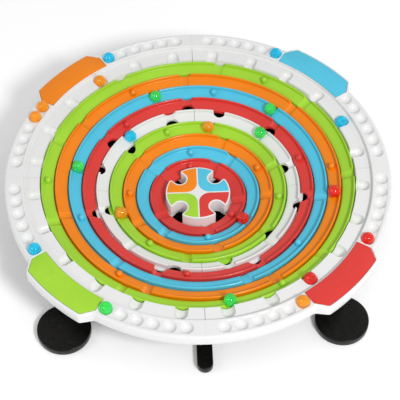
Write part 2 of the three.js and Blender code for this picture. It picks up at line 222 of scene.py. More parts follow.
ballLook = {
    "cloudScale": 110.0, "scuffScale": 260.0, "deep": 0.82, "pale": 1.12, "lift": 0.01,
    "rough": 0.02, "roughSpread": 0.06, "coatRough": 0.03, "bump": 0.02, "bumpDepth": 0.0002,
    # glow is painted light, the ball's own colour shining faintly for light that passes through it
    "bend": 1.46, "clear": 0.3, "glow": 0.16, "through": 0.4, "tint": 0.35,
}
ballColours = {
    "blue": (0.004, 0.64, 0.88),
    "orange": (0.98, 0.40, 0.004),
    "green": (0.05, 0.80, 0.13),
    "red": (0.82, 0.020, 0.008),
}
ballFinishes = {}
for finishName, finishColour in ballColours.items():
    ballFinishes[finishName] = clearFinish(finishName + "Ball", finishColour, ballLook)

steelLook = {
    "streakScale": 1400.0, "patchScale": 300.0,
    "deep": (0.42, 0.43, 0.44, 1), "pale": (0.62, 0.61, 0.57, 1),
    "rough": 0.25, "roughSpread": 0.2, "bump": 0.2, "bumpDepth": 0.0002,
}


def steelFinish(look):
    material, make, place = startMaterial("zincSteel")
    streak = make.noise(place, look["streakScale"], 3.0)
    patch = make.noise(place, look["patchScale"], 4.0)
    shader = make.node("ShaderNodeBsdfPrincipled", None, {
        "Base Color": make.blend(patch, look["deep"], look["pale"]), "Metallic": 1.0,
        "Roughness": streak * look["roughSpread"] + look["rough"],
        "Normal": make.bump(streak, look["bump"], look["bumpDepth"])})
    make.node("ShaderNodeOutputMaterial", None, {"Surface": shader.outputs[0]})
    return material


finishes["steel"] = steelFinish(steelLook)
print("stage: finishes made")


def meshObject(name, points, faces=()):
    mesh = bpy.data.meshes.new(name)
    mesh.from_pydata([tuple(point) for point in points], [], list(faces))
    made = bpy.data.objects.new(name, mesh)
    bpy.context.scene.collection.objects.link(made)
    return made


def bake(made):
    # gives the object its evaluated mesh and drops the modifiers
    graph = bpy.context.evaluated_depsgraph_get()
    mesh = bpy.data.meshes.new_from_object(made.evaluated_get(graph))
    made.modifiers.clear()
    made.data = mesh
    return made


def settle(made, angle=32):
    # closes the ends, points faces outwards and marks the sharp edges
    mesh = bake(made).data
    work = bmesh.new()
    work.from_mesh(mesh)
    bmesh.ops.remove_doubles(work, verts=work.verts, dist=8e-6)
    bmesh.ops.dissolve_degenerate(work, edges=work.edges, dist=2e-6)
    bmesh.ops.holes_fill(work, edges=[edge for edge in work.edges if edge.is_boundary], sides=0)
    bmesh.ops.recalc_face_normals(work, faces=work.faces)
    for face in work.faces:
        face.smooth = True
    work.to_mesh(mesh)
    work.free()
    mesh.set_sharp_from_angle(angle=rad(angle))


def finishPiece(made, body, finish, node):
    made.data.materials.clear()
    made.data.materials.append(finish)
    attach(made, body)
    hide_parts(node)


def prism(name, outline, low, high):
    count = len(outline)
    points = [(x, y, low) for x, y in outline] + [(x, y, high) for x, y in outline]
    sides = [(i, (i + 1) % count, count + (i + 1) % count, count + i) for i in range(count)]
    caps = [tuple(reversed(range(count))), tuple(range(count, 2 * count))]
    return meshObject(name, points, sides + caps)


def arcPoints(x, y, radius, start, end, steps):
    turns = [rad(start + (end - start) * i / steps) for i in range(steps + 1)]
    return [(x + radius * math.cos(turn), y + radius * math.sin(turn)) for turn in turns]


def disc(name, radius, low, high, sides=96, x=0.0, y=0.0):
    return prism(name, arcPoints(x, y, radius, 0, 360, sides)[:-1], low, high)


def turned(outline, degrees):
    c, s = math.cos(rad(degrees)), math.sin(rad(degrees))
    return [(x * c - y * s, x * s + y * c) for x, y in outline]


def combine(first, operation, second):
    # joins or cuts with a closed solid and drops the tool
    cut = first.modifiers.new("combine", "BOOLEAN")
    cut.operation = operation
    cut.solver = "MANIFOLD"
    cut.object = second
    bake(first)
    bpy.data.objects.remove(second)


def roundEdges(made, width, angle=30, segments=3):
    flat = made.modifiers.new("flat", "DECIMATE")
    flat.decimate_type = "DISSOLVE"
    flat.angle_limit = rad(0.4)
    bevel = made.modifiers.new("bevel", "BEVEL")
    bevel.width = width
    bevel.segments = segments
    bevel.limit_method = "ANGLE"
    bevel.angle_limit = rad(angle)
    bevel.harden_normals = False


flange = 0.004


def edgeOf(node):
    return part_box(node)[1].y - flange


bowl = {
    "lip": 0.004, "lipWidth": 0.0023, "gap": 0.001, "showGap": 0.0016, "floorThickness": 0.0038,
    "flangeThickness": 0.002, "wall": 0.0036, "grooveRadius": 0.0073, "dish": 0.002, "fillet": 0.0008,
    "trapRadius": 0.0078, "trapOffset": 0.001, "joint": 0.0002, "knobRadius": 0.0036, "knobRise": 0.0034,
    "floorRows": 9, "stepsPerSector": 76, "seatGap": 0.0001,
}
outermost = edgeOf("ring_outer_green")
innermost = edgeOf("ring_inner_red")
pitch = (outermost - innermost) / 8
hubEdge = edgeOf("hub")
slope = (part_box("ring_outer_green")[1].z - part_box("ring_inner_red")[1].z) / (outermost - innermost)
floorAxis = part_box("ring_outer_green")[1].z - bowl["lip"] - slope * outermost
ballRadius = (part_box("ball_green_on_mid")[1].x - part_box("ball_green_on_mid")[0].x) / 2


def floorAt(radius):
    return floorAxis + slope * radius


def ringEdge(index):
    return outermost - pitch * index


def ringStart(index):
    return (hubEdge if index == 8 else ringEdge(index + 1)) + bowl["showGap"]


def sectionObject(name, points):
    # a closed section of (radius, height, carved, follows) points, for the sweep to read
    made = meshObject(name, [(point[0], 0, point[1]) for point in points + points[:1]])
    for key, place in (("carved", 2), ("follows", 3)):
        layer = made.data.attributes.new(key, "FLOAT", "POINT")
        layer.data.foreach_set("value", [float(point[place]) for point in points + points[:1]])
    return made


def startTree(name, sockets):
    # a node tree with named inputs: its maker and its input sockets
    tree = bpy.data.node_groups.new(name, "GeometryNodeTree")
    for label, kind in sockets.items():
        tree.interface.new_socket(label, in_out="INPUT", socket_type="NodeSocket" + kind)
    tree.interface.new_socket("Finish", in_out="INPUT", socket_type="NodeSocketMaterial")
    tree.interface.new_socket("Result", in_out="OUTPUT", socket_type="NodeSocketGeometry")
    make = Maker(tree)
    return make, make.node("NodeGroupInput").outputs


def endTree(make, given, geometry):
    real = make.val("GeometryNodeRealizeInstances", None, {0: geometry})
    dressed = make.val("GeometryNodeSetMaterial", None, {0: real, "Material": given["Finish"]})
    make.node("NodeGroupOutput", None, {0: dressed})
    return make.tree


def joinSolids(make, first, second):
    both = make.node("GeometryNodeMeshBoolean", {"operation": "UNION", "solver": "MANIFOLD"})
    for solid in (first, second):
        make.tree.links.new(solid, both.inputs[1])
    return Val(make, both.outputs[0])


def sweepTree(name, sizes, shape):
    # turns a section round Z; shape() gives each point's angle, radius and height
    sockets = {"Section": "Geometry", "Steps": "Int", **{size: "Float" for size in sizes}}
    make, given = startTree(name, sockets)
    count = make.val("GeometryNodeAttributeDomainSize", None, {0: given["Section"]})
    steps = Val(make, given["Steps"])
    grid = make.node("GeometryNodeMeshGrid", None, {0: 1.0, 1: 1.0, 2: steps + 1, 3: count})
    position = make.val("GeometryNodeInputPosition")
    place = make.node("ShaderNodeSeparateXYZ", None, {0: position})
    along = Val(make, place.outputs[0]) + 0.5
    index = ((Val(make, place.outputs[1]) + 0.5) * (count - 1)).nearest()
    sampled = make.val("GeometryNodeSampleIndex", {"data_type": "FLOAT_VECTOR"}, {
        0: given["Section"], 1: position, 2: index})
    section = make.node("ShaderNodeSeparateXYZ", None, {0: sampled})
    point = {"along": along, "radius": Val(make, section.outputs[0])}
    point["height"] = Val(make, section.outputs[2])
    for key in ("carved", "follows"):
        named = make.val("GeometryNodeInputNamedAttribute", None, {"Name": key})
        point[key] = make.val("GeometryNodeSampleIndex", None, {0: given["Section"], 1: named, 2: index})
    for size in sizes:
        point[size] = Val(make, given[size])
    angle, radius, height = shape(point)
    spot = make.polar(angle, radius, height)
    moved = make.val("GeometryNodeSetPosition", None, {0: grid.outputs[0], 2: spot})
    welded = make.val("GeometryNodeMergeByDistance", None, {0: moved, "Distance": 5e-6})
    return endTree(make, given, welded)


def applyTree(made, tree, values):
    modifier = made.modifiers.new(tree.name, "NODES")
    modifier.node_group = tree
    for item in tree.interface.items_tree:
        if item.in_out == "INPUT" and item.name in values:
            modifier[item.identifier] = values[item.name]
    return made


def nearFirst(point, sector, reach, share):
    # spreads the steps of one sector so that a share of them lies within reach of its middle
    at = point["along"] * point["Sectors"]
    cell = at.floor().atMost(point["Sectors"] - 1)
    side = (at - cell) * 2 - 1
    edge = (reach / point["radius"]).asin()
    inside = (side / share * reach / point["radius"]).atMost(1.0).atLeast(-1.0).asin()
    beyond = (side.size() - share) / (1 - share) * (sector / 2 - edge) + edge
    outer = side.size() > share
    local = inside * (1 - outer) + beyond * side.sign() * outer
    return cell, local


bankSlope = 9  # how fast a groove's bank leaves the groove
outOfReach = 0.05  # lifts a groove clear of a sector that has none
ringRound = 0.0005  # rounding of a gate's edges
ringSpread = (1.3, 0.6)  # how much of a gate gets most steps, and their share


def ringShape(point):
    # gates cut through the ring's lip and groove
    sector = point["Span"] / point["Sectors"]
    cell, local = nearFirst(point, sector, point["Groove Radius"] * ringSpread[0], ringSpread[1])
    radius = point["radius"]
    trim = point["Joint"] / radius
    squeeze = 1 - trim * 2 / point["Span"]
    angle = point["Start"] + trim + ((cell + 0.5) * sector + local) * squeeze
    across = radius * local.sin()
    out = radius * local.cos()
    lean = (point["Slope"] * point["Slope"] + 1).root()
    groove = point["Groove Radius"]
    middle = point["Floor"] + point["Slope"] * out + (groove - point["Dish"]) * lean
    drop = ((groove * groove - across * across).atLeast(0.0)).root() * lean
    steep = (across.size() - groove).atLeast(0.0) * bankSlope
    blank = (cell - point["Blank"]).size() < 0.5
    cut = middle - drop + steep + blank * outOfReach
    low = point["height"].softMin(cut, ringRound)
    height = point["height"] + (low - point["height"]) * point["carved"]
    return angle, radius, height


ringSizes = ["Start", "Span", "Sectors", "Blank", "Joint", "Slope", "Floor", "Groove Radius", "Dish"]
ringTree = sweepTree("ringMoulding", ringSizes, ringShape)


def ringSection(edge, start):
    lip, width, fillet = bowl["lip"], bowl["lipWidth"], bowl["fillet"]
    bead = width / 2
    under = floorAt(edge) - bowl["floorThickness"] - bowl["seatGap"]
    base = under - bowl["flangeThickness"]
    points = [(start, floorAt(start) - bowl["floorThickness"], 0, 0)]
    points += [(start, floorAt(start) - 0.0005, 1, 0), (start + 0.00015, floorAt(start) - 0.0001, 1, 0)]
    floorEnd = edge - width - fillet
    floorStart = start + 0.0005
    for row in range(bowl["floorRows"] + 1):
        radius = floorStart + (floorEnd - floorStart) * row / bowl["floorRows"]
        points.append((radius, floorAt(radius), 1, 0))
    rounded = arcPoints(floorEnd, floorAt(floorEnd) + fillet, fillet, 290, 350, 3)
    rounded += arcPoints(edge - bead, floorAt(edge) + lip - bead, bead, 180, 0, 9)
    points += [(x, z, 1, 0) for x, z in rounded]
    points.append((edge, under, 0, 0))
    reach = edge + flange
    points += [(reach - 0.0004, under, 0, 0), (reach, under - 0.0004, 0, 0)]
    points += [(reach, base + 0.0003, 0, 0), (reach - 0.0003, base, 0, 0)]
    return points + [(edge - bowl["wall"], base, 0, 0)]


def seatTree(name, toolKind, operation):
    # stands one tool at each vertex of the seats object, then joins or cuts with it
    make, given = startTree(name, {
        "Moulding": "Geometry", "Seats": "Object", "Radius": "Float", "Depth": "Float"})
    info = make.node("GeometryNodeObjectInfo", {"transform_space": "ORIGINAL"}, {
        "Object": given["Seats"]})
    sides = 32 if toolKind == "peg" else 64
    tool = make.val("GeometryNodeMeshCylinder", None, {
        "Vertices": sides, "Radius": given["Radius"], "Depth": given["Depth"]})
    if toolKind == "peg":
        dome = make.val("GeometryNodeMeshUVSphere", None, {
            "Segments": sides, "Rings": sides // 2, "Radius": given["Radius"]})
        drop = make.val("ShaderNodeCombineXYZ", None, {2: Val(make, given["Depth"]) * -0.5})
        stem = make.val("GeometryNodeTransform", None, {0: tool, "Translation": drop})
        tool = joinSolids(make, dome.socket, stem.socket)
    placed = make.val("GeometryNodeInstanceOnPoints", None, {0: info.outputs["Geometry"], 2: tool})
    real = make.val("GeometryNodeRealizeInstances", None, {0: placed})
    if operation == "UNION":
        return endTree(make, given, joinSolids(make, real.socket, given["Moulding"]))
    settings = {"operation": operation, "solver": "MANIFOLD"}
    less = make.val("GeometryNodeMeshBoolean", settings, {0: given["Moulding"], 1: real})
    return endTree(make, given, less)


pegTree = seatTree("standPegs", "peg", "UNION")
postTree = seatTree("standPosts", "post", "UNION")
holeTree = seatTree("cutHoles", "post", "DIFFERENCE")


def applySeats(made, tree, spots, radius, depth, finish):
    # spots are (radius, angle, height)
    bake(made)
    seats = meshObject("seats", [(r * math.cos(rad(a)), r * math.sin(rad(a)), z) for r, a, z in spots])
    applyTree(made, tree, {"Seats": seats, "Radius": radius, "Depth": depth, "Finish": finish})
    bake(made)
    bpy.data.objects.remove(seats)


def sweepRing(name, index, start, span, sectors, blank, joint, finish):
    made = sectionObject(name, ringSection(ringEdge(index), ringStart(index)))
    return applyTree(made, ringTree, {
        "Steps": bowl["stepsPerSector"] * sectors,
        "Start": rad(start), "Span": rad(span), "Sectors": float(sectors),
        "Blank": float(blank), "Joint": joint, "Slope": slope, "Floor": floorAxis,
        "Groove Radius": bowl["grooveRadius"], "Dish": bowl["dish"], "Finish": finish})


noBlank = -5  # a sector number that no ring has
trapCutter = {"height": 0.06, "length": 0.2}


def trapSpot(index, angle):
    return ringEdge(index) + bowl["gap"] / 2 + bowl["trapOffset"], angle, trapCutter["height"]


rings = {
    "outer_green": {"index": 0, "gates": 9, "first": -0.7, "knobs": [59.6, 179.6, 299.6]},
    "outer_orange": {"index": 1, "gates": 7, "first": 42.2, "knobs": [4.8, 118.3, 234.9]},
    "outer_blue": {"index": 2, "gates": 6, "first": 49.4, "knobs": [80, 199.4, 320]},
    "outer_red": {"index": 3, "gates": 7, "first": 42.2, "knobs": [16, 131, 262.4], "inner": range(7)},
    "inner_green": {
        "index": 5, "gates": 6, "first": 20.3, "knobs": [351.3, 110.9, 233], "outer": [2, 5]},
    "inner_orange": {"index": 6, "gates": 5, "first": 67.1, "knobs": [24.6, 179.8]},
    "inner_blue": {"index": 7, "gates": 4, "first": 52.3, "knobs": [95.7, 278.5]},
    "inner_red": {"index": 8, "gates": 5, "first": 65.8, "knobs": [99.3, 324.5]},
}


def makeRing(name, ring):
    colour = name.split("_")[1]
    finish = finishes[colour]
    index, sector = ring["index"], 360 / ring["gates"]
    piece = sweepRing("ring_" + name + "_moulding", index, ring["first"] - sector / 2, 360,
                      ring["gates"], noBlank, 0.0, finish)
    middle = (ringEdge(index) - bowl["lipWidth"] + ringStart(index)) / 2
    knobs = [(middle, angle, floorAt(middle) + bowl["knobRise"]) for angle in ring["knobs"]]
    knobDepth = bowl["knobRise"] + bowl["floorThickness"] / 2
    applySeats(piece, pegTree, knobs, bowl["knobRadius"], knobDepth, finish)
    traps = [trapSpot(index + 1, ring["first"] + sector * gate) for gate in ring.get("inner", [])]
    traps += [trapSpot(index, ring["first"] + sector * gate) for gate in ring.get("outer", [])]
    if traps:
        applySeats(piece, holeTree, traps, bowl["trapRadius"], trapCutter["length"], finish)
    settle(piece)
    finishPiece(piece, "ring_" + name, finish, "ring_" + name)


for ringName, ringValues in rings.items():
    makeRing(ringName, ringValues)
print("stage: turning rings made")

quarters = [("ne", 0, "blue"), ("nw", 90, "orange"), ("sw", 180, "green"), ("se", 270, "red")]
midRing = {"index": 4, "sectors": 3, "blank": 2, "outerTrap": 75, "innerTrap": 15}


def makeMidQuarter(name, turn):
    finish = finishes["white"]
    piece = sweepRing("mid_ring_" + name + "_moulding", midRing["index"], turn, 90, midRing["sectors"],
                      midRing["blank"], bowl["joint"], finish)
    settle(piece)
    holes = [trapSpot(midRing["index"], turn + midRing["outerTrap"])]
    holes += [trapSpot(midRing["index"] + 1, turn + midRing["innerTrap"])]
    applySeats(piece, holeTree, holes, bowl["trapRadius"], trapCutter["length"], finish)
    settle(piece)
    finishPiece(piece, "root", finish, "mid_ring_" + name)


for quarterName, quarterTurn, _ in quarters:
    makeMidQuarter(quarterName, quarterTurn)
print("stage: fixed ring made")


rim = {
    "top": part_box("frame_ne")[1].z, "bottom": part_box("frame_ne")[0].z, "radius": cadBox[1].y,
    "rise": 0.005, "trackWidth": 0.0175, "storage": 0.0102, "shell": 0.0024, "cupRise": 0.0062,
    "padSide": 12.95, "padTip": 10.05, "padReach": 0.008, "border": 0.0026, "setback": 0.0011,
    "chamfer": 0.0041, "cupFirst": 15.32, "cupStep": 4.855, "padFoot": 13.05, "edge": 0.0021,
    "stations": 6, "stationDepth": 0.0169, "trackRows": 26, "topRows": 30,
}
cupsPerRow = 5.0  # steps from the first cup beside a handle to the last
track = rim["top"] - rim["rise"]
trackInner = outermost + bowl["gap"]
trackOuter = trackInner + rim["trackWidth"]
storageRadius = trackOuter + rim["storage"]
padOuter = rim["radius"] + rim["padReach"]
padChamfer = rim["radius"] - rim["chamfer"]


def frameSection():
    shell, outer, top = rim["shell"], rim["radius"], rim["top"]
    stationUnder = track - bowl["grooveRadius"] - shell
    storageUnder = track + rim["cupRise"] - bowl["grooveRadius"] - shell
    points = [(trackInner, stationUnder, 0), (trackInner, track - 0.0006, 1)]
    points.append((trackInner + 0.0002, track - 0.0001, 1))
    for row in range(rim["trackRows"] + 1):
        across = (rim["trackWidth"] - 0.0015) * row / rim["trackRows"]
        points.append((trackInner + 0.0007 + across, track, 1))
    points += [(trackOuter - 0.0003, track + 0.0001, 1), (trackOuter, track + 0.0006, 1)]
    points += [(trackOuter + 0.0001, track + 0.0025, 1)]
    points += [(x, z, 1) for x, z in arcPoints(trackOuter + 0.0012, top - 0.001, 0.001, 180, 90, 4)]
    first, end = trackOuter + 0.0016, outer - rim["edge"]
    rows = rim["topRows"]
    points += [(first + (end - first) * row / rows, top, 1) for row in range(rows)]
    points += [(x, z, 0) for x, z in arcPoints(end, top - rim["edge"], rim["edge"], 90, 0, 7)]
    points += [(outer, rim["bottom"] + 0.0006, 0), (outer - 0.0002, rim["bottom"] + 0.00015, 0)]
    points += [(outer - 0.0006, rim["bottom"], 0), (outer - shell + 0.0004, rim["bottom"], 0)]
    points += [(outer - shell, rim["bottom"] + 0.0004, 0), (outer - shell, storageUnder, 0)]
    points += [(trackOuter + shell, storageUnder, 0), (trackOuter - shell, stationUnder, 0)]
    reach = outer - shell - first
    return [(r, z, carved, min(1.0, max(0.0, (r - first) / reach))) for r, z, carved in points]


stationSpread = (1.08, 0.5)  # how much of a station gets most steps, and their share
trough = {"from": 0.0064, "to": 0.0074, "depth": 0.0009}
rimBead = {
    "height": 0.0006, "seat": 0.0016, "rise": (0.0001, 0.0008), "fall": (0.0017, 0.0028),
    "inner": (0.0, 0.0012), "wall": (-0.0002, 0.0004), "tipSlope": 0.75,
}
rimRound = {"foot": 0.25, "tip": 0.2, "station": 0.0008, "cup": 0.0020}
cupBank = {"start": 0.985, "slope": 6}
hairGap = 0.00003


def frameShape(point):
    # stations and cups sink into the section, and the rim steps out round the handle
    sector = point["Span"] / point["Sectors"]
    spread = point["radius"] < point["Track Outer"] + 0.0003
    cell, near = nearFirst(point, sector, point["Groove Radius"] * stationSpread[0], stationSpread[1])
    at = point["along"] * point["Sectors"]
    even = (at - cell - 0.5) * sector
    local = near * spread + even * (1 - spread)
    turn = (cell + 0.5) * sector + local
    middle = turn - point["Span"] / 2
    off = middle.size()
    shift = (point["Pad Foot"] - off) / (point["Pad Foot"] - point["Pad Tip"])
    shift = shift.softMax(0.0, rimRound["foot"]).softMin(1.0, rimRound["tip"])
    radius = point["radius"] + shift * (point["Pad Reach"] + point["Border"]) * point["follows"]
    trim = (point["Joint"] * (radius < point["Track Outer"]) + hairGap) / radius
    angle = point["Start"] + trim + turn * (1 - trim * 2 / point["Span"])
    groove = point["Groove Radius"]
    past = (radius * local.cos() - point["Scoop End"]).atLeast(0.0)
    across = radius * local.sin()
    away = (across * across + past * past).root()
    scoop = point["Track"] - ((groove * groove - away * away).atLeast(0.0)).root()
    scoop = scoop + (away - groove).atLeast(0.0) * bankSlope
    place = ((off - point["Cup First"]) / point["Cup Step"]).nearest().atLeast(0.0).atMost(cupsPerRow)
    cupTurn = (off - point["Cup First"] - place * point["Cup Step"]) * point["Cup Ring"]
    cupOut = radius - point["Cup Ring"]
    cupAway = (cupTurn * cupTurn + cupOut * cupOut).root()
    cup = point["Cup Height"] - ((groove * groove - cupAway * cupAway).atLeast(0.0)).root()
    cup = cup + (cupAway - groove * cupBank["start"]).atLeast(0.0) * cupBank["slope"]
    lastCup = point["Cup First"] + point["Cup Step"] * cupsPerRow
    rowTurn = (off - off.atLeast(point["Cup First"]).atMost(lastCup)) * point["Cup Ring"]
    rowAway = (rowTurn * rowTurn + cupOut * cupOut).root()
    sunkRow = (1 - rowAway.ramp(trough["from"], trough["to"])) * trough["depth"]
    height = (point["height"] - sunkRow).softMin(scoop, rimRound["station"]).softMin(cup, rimRound["cup"])
    padEdge = point["Pad Outer"] - (point["Pad Outer"] - point["Pad Chamfer"]) * (
        ((off - point["Pad Tip"]) / (point["Pad Side"] - point["Pad Tip"])).atLeast(0.0))
    sideAway = (off - point["Pad Side"]) * radius
    away = sideAway.atLeast((radius - padEdge) * rimBead["tipSlope"]).atLeast(point["Pad Inner"] - radius)
    bead = away.ramp(*rimBead["rise"]) * (1 - away.ramp(*rimBead["fall"])) * rimBead["height"]
    bead = bead * (radius - point["Pad Inner"]).ramp(*rimBead["inner"])
    sunk = (1 - away.ramp(*rimBead["wall"])) * rimBead["seat"]
    height = height + bead - sunk
    height = point["height"] + (height - point["height"]) * point["carved"]
    return angle, radius, height


frameSizes = ["Start", "Span", "Sectors", "Joint", "Groove Radius", "Track", "Track Outer", "Scoop End",
              "Cup First", "Cup Step", "Cup Ring", "Cup Height", "Pad Side", "Pad Tip", "Pad Foot",
              "Pad Reach", "Pad Outer", "Pad Chamfer", "Pad Inner", "Border"]
frameTree = sweepTree("frameMoulding", frameSizes, frameShape)


def makeFrameQuarter(name, turn):
    piece = sectionObject("frame_" + name + "_moulding", frameSection())
    applyTree(piece, frameTree, {
        "Steps": rim["stations"] * bowl["stepsPerSector"], "Start": rad(turn), "Span": rad(90),
        "Sectors": float(rim["stations"]), "Joint": bowl["joint"],
        "Groove Radius": bowl["grooveRadius"], "Track": track, "Track Outer": trackOuter,
        "Scoop End": trackInner - 2 * bowl["gap"] + rim["stationDepth"] - bowl["grooveRadius"],
        "Cup First": rad(rim["cupFirst"]), "Cup Step": rad(rim["cupStep"]), "Cup Ring": storageRadius,
        "Cup Height": track + rim["cupRise"], "Pad Side": rad(rim["padSide"]),
        "Pad Tip": rad(rim["padTip"]), "Pad Foot": rad(rim["padFoot"]), "Pad Reach": rim["padReach"],
        "Pad Outer": padOuter, "Pad Chamfer": padChamfer,
        "Pad Inner": trackOuter + rim["setback"], "Border": rim["border"], "Finish": finishes["white"]})
    settle(piece, 40)
    finishPiece(piece, "root", finishes["white"], "frame_" + name)


for quarterName, quarterTurn, _ in quarters:
    makeFrameQuarter(quarterName, quarterTurn)
print("stage: frame made")

padSizes = {
    "inset": 0.0002, "edge": 0.0006, "ribs": 7, "ribLength": 0.011, "ribWidth": 0.0012,
    "ribRise": 0.0009, "ribStep": 0.0052, "ribSink": 0.00015,
}


def padOutline(inset):
    side = rim["padSide"] - math.degrees(inset / storageRadius)
    tip = rim["padTip"] - math.degrees(inset / storageRadius) / 2
    inner, outer = trackOuter + rim["setback"] + inset, padOuter - inset
    corner = padChamfer - inset / 2
    outline = arcPoints(0, 0, inner, 45 + side, 45 - side, 24)
    outline += turned([(corner, 0)], 45 - side)
    outline += arcPoints(0, 0, outer, 45 - tip, 45 + tip, 20)
    outline += turned([(corner, 0)], 45 + side)
    return outline


def ribTree():
    # a row of low grip ribs along an arc about Z
    sizes = ["Middle", "Arc Radius", "Step", "Length", "Width", "Rise", "Height"]
    sockets = {"Pad": "Geometry", "Ribs": "Int", **{size: "Float" for size in sizes}}
    make, given = startTree("gripRibs", sockets)
    get = {key: Val(make, given[key]) for key in ["Ribs"] + sizes}
    index = make.val("GeometryNodeInputIndex")
    angle = get["Middle"] + (index - (get["Ribs"] - 1) / 2) * get["Step"] / get["Arc Radius"]
    spot = make.polar(angle, get["Arc Radius"], get["Height"])
    dots = make.val("GeometryNodePoints", None, {"Count": get["Ribs"], "Position": spot})
    bar = make.val("GeometryNodeMeshUVSphere", None, {"Segments": 24, "Rings": 12, "Radius": 0.5})
    turn = make.val("FunctionNodeAxisAngleToRotation", None, {"Axis": (0, 0, 1), "Angle": angle})
    size = make.val("ShaderNodeCombineXYZ", None, {0: get["Length"], 1: get["Width"], 2: get["Rise"]})
    placed = make.val("GeometryNodeInstanceOnPoints", None, {
        0: dots, "Instance": bar, "Rotation": turn, "Scale": size})
    real = make.val("GeometryNodeRealizeInstances", None, {0: placed})
    return endTree(make, given, joinSolids(make, real.socket, given["Pad"]))


gripTree = ribTree()


def makePad(name, turn, colour):
    low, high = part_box("pad_" + colour)[0].z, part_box("pad_" + colour)[1].z
    piece = prism("pad_" + colour + "_inlay", turned(padOutline(padSizes["inset"]), turn), low, high)
    roundEdges(piece, padSizes["edge"])
    settle(piece)
    applyTree(piece, gripTree, {
        "Ribs": padSizes["ribs"], "Middle": rad(turn + 45), "Arc Radius": (trackOuter + padOuter) / 2,
        "Step": padSizes["ribStep"], "Length": padSizes["ribLength"], "Width": padSizes["ribWidth"],
        "Rise": padSizes["ribRise"], "Height": high - padSizes["ribSink"], "Finish": finishes[colour]})
    settle(piece)
    finishPiece(piece, "root", finishes[colour], "pad_" + colour)


for quarterName, quarterTurn, quarterColour in quarters:
    makePad(quarterName, quarterTurn, quarterColour)
print("stage: handle pads made")


hub = {
    "top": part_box("hub")[1].z, "bottom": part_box("hub")[0].z, "pocket": ballRadius + 0.0007,
    "centre": hubEdge - 0.0084, "corner": 0.0022, "skirtCorner": 0.001, "hollowCorner": 0.0015,
    "border": 0.0017, "round": 0.013, "inlay": 0.0012, "inlayEdge": 0.00035, "edge": 0.0007,
    "shell": 0.0024, "past": 0.01, "far": 0.1,
}


def hubOutline(radius, mouth, corner):
    # round outline with four open pockets whose mouths have rounded corners
    centre = hub["centre"]
    out = math.sqrt((radius - corner) ** 2 - (mouth + corner) ** 2)
    lean = math.degrees(math.atan2(mouth + corner, out))
    outline = []
    for quarter in range(4):
        local = arcPoints(out, -(mouth + corner), corner, -lean, 90, 6)
        local += arcPoints(centre, 0, mouth, -90, -270, 32)
        local += arcPoints(out, mouth + corner, corner, -90, lean, 6)
        local += arcPoints(0, 0, radius, lean, 90 - lean, 14)[1:-1]
        outline += turned(local, 45 + 90 * quarter)
    return outline


def hubBand(turn, low, high):
    # one quarter of the hub's face, less its border and pocket
    inner, past, far = hub["pocket"] + hub["border"], hub["past"], hub["far"]
    centre, edge = hub["centre"], hub["border"] / 2
    x, y = turned([(centre, 0)], 45)[0]
    rounded = edge + hub["round"]
    outline = arcPoints(rounded, rounded, hub["round"], 270, 180, 24)
    outline += [(edge, far), (far, far), (far, edge)]
    band = prism("band", outline[::-1], low, high)
    combine(band, "DIFFERENCE", disc("tool", inner, low - past, high + past, 72, x, y))
    slot = turned([(centre, -inner), (far, -inner), (far, inner), (centre, inner)], 45)
    combine(band, "DIFFERENCE", prism("tool", slot, low - past, high + past))
    combine(band, "INTERSECT", disc("tool", hubEdge - hub["border"], low - past, high + past, 180))
    band.data.transform(Matrix.Rotation(rad(turn), 4, "Z"))
    return band


def makeInlay(cap, turn, colour):
    low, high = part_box("hub_inlay_" + colour)
    combine(cap, "DIFFERENCE", hubBand(turn, high.z - hub["inlay"], high.z + 0.002))
    band = hubBand(turn, low.z, high.z)
    band.name = "hub_inlay_" + colour + "_band"
    roundEdges(band, hub["inlayEdge"], 50)
    settle(band)
    finishPiece(band, "root", finishes[colour], "hub_inlay_" + colour)


def makeHub():
    finish, shell = finishes["white"], hub["shell"]
    under = floorAt(hubEdge) - bowl["floorThickness"] - bowl["seatGap"]
    face = hubOutline(hubEdge, hub["pocket"], hub["corner"])
    piece = prism("hub_cap", face, hub["bottom"], hub["top"])
    roundEdges(piece, hub["edge"], 50)
    settle(piece)
    skirt = hubOutline(hubEdge + flange, hub["pocket"], hub["skirtCorner"])
    combine(piece, "UNION", prism("skirt", skirt, hub["bottom"], under))
    hollow = hubOutline(hubEdge - shell, hub["pocket"] + shell, hub["hollowCorner"])
    ceiling = hub["top"] - hub["inlay"] - shell
    combine(piece, "DIFFERENCE", prism("hollow", hollow, hub["bottom"] - 0.001, ceiling))
    for _, turn, colour in quarters:
        makeInlay(piece, turn, colour)
    settle(piece)
    finishPiece(piece, "root", finish, "hub")


makeHub()
print("stage: hub made")


def middleOut(node):
    # how far out a piece stands from the Z axis
    low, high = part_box(node)
    return math.hypot((low.x + high.x) / 2, (low.y + high.y) / 2)


def halfWidth(node):
    return (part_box(node)[1].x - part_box(node)[0].x) / 2


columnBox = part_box("column_ne")
columnOut = middleOut("column_ne")
columnRadius = halfWidth("column_ne")
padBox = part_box("rubber_pad_ne")
rubberOut = middleOut("rubber_pad_ne")
rubberRadius = halfWidth("rubber_pad_ne")
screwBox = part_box("column_screw_ne")
tray = {"post": 0.015, "shell": 0.0024, "inset": 0.0015, "boss": 0.0012, "clear": 0.0003}


def plainShape(point):
    return point["Start"] + point["along"] * point["Span"], point["radius"], point["height"]


plainTree = sweepTree("turnedMoulding", ["Start", "Span"], plainShape)


def sweepPlain(name, outline, finish, steps):
    made = sectionObject(name, [(r, z, 0, 0) for r, z in outline])
    return applyTree(made, plainTree, {
        "Steps": steps, "Start": 0.0, "Span": 2 * math.pi, "Finish": finish})


